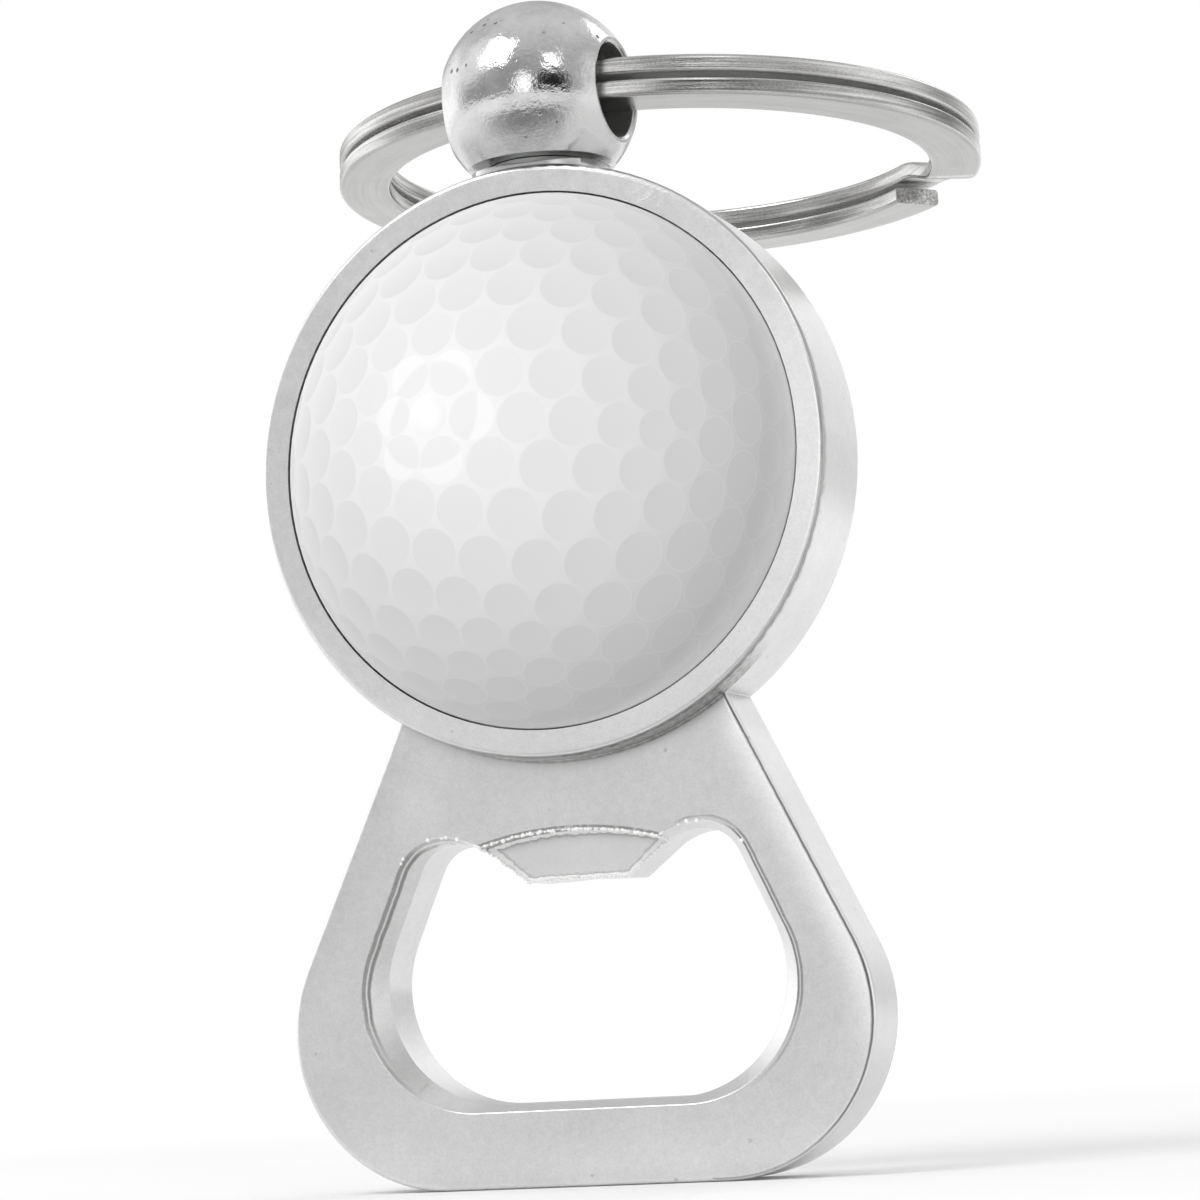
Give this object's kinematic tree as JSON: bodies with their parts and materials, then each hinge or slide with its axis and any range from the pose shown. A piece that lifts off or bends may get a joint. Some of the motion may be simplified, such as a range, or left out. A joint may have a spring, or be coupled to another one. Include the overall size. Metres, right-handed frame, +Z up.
{
  "type": "keychain bottle opener",
  "caption": "Keychain bottle opener with a thick round head holding a flat golf-ball picture, a swivelling bored ball and a flat-wire split ring.",
  "frame": {"origin": "on the flat bottom edge, straight below the axis on which the ball turns, midway between the head's front and back", "axes": "+Z up the long axis towards the key-ring ball, -Y the front with the picture, +Y the flat back, +X to the right as seen from the front"},
  "size_m": [0.032, 0.035, 0.0546],
  "materials": {
    "plated_casting": "bright nickel-chrome plate on a tumbled zinc casting, satin faces",
    "picture": "printed disc under a clear coat",
    "adhesive": "foam tape",
    "washer": "nylon",
    "rivet": "plain steel",
    "plated_ball": "bright plated, slight orange peel",
    "ring_wire": "nickel-plated spring steel"
  },
  "bodies": {
    "opener": {"opener_body": "plated_casting", "printed_disc": "picture", "adhesive_pad": "adhesive", "swivel_washer": "washer", "swivel_rivet": "rivet"},
    "ball": {"swivel_ball": "plated_ball"},
    "ring": {"split_ring": "ring_wire"}
  },
  "joints": [
    {"name": "ball_swivel", "type": "hinge", "parent": "opener", "child": "ball", "pos_m": [0, 0, 0.04993], "axis": [0, 0, 1], "continuous": true},
    {"name": "ring_tilt", "type": "hinge", "parent": "ball", "child": "ring", "pos_m": [0, 0, 0.04993], "axis": [0.9976, -0.0698, 0], "range_deg": [-58, 242]}
  ]
}
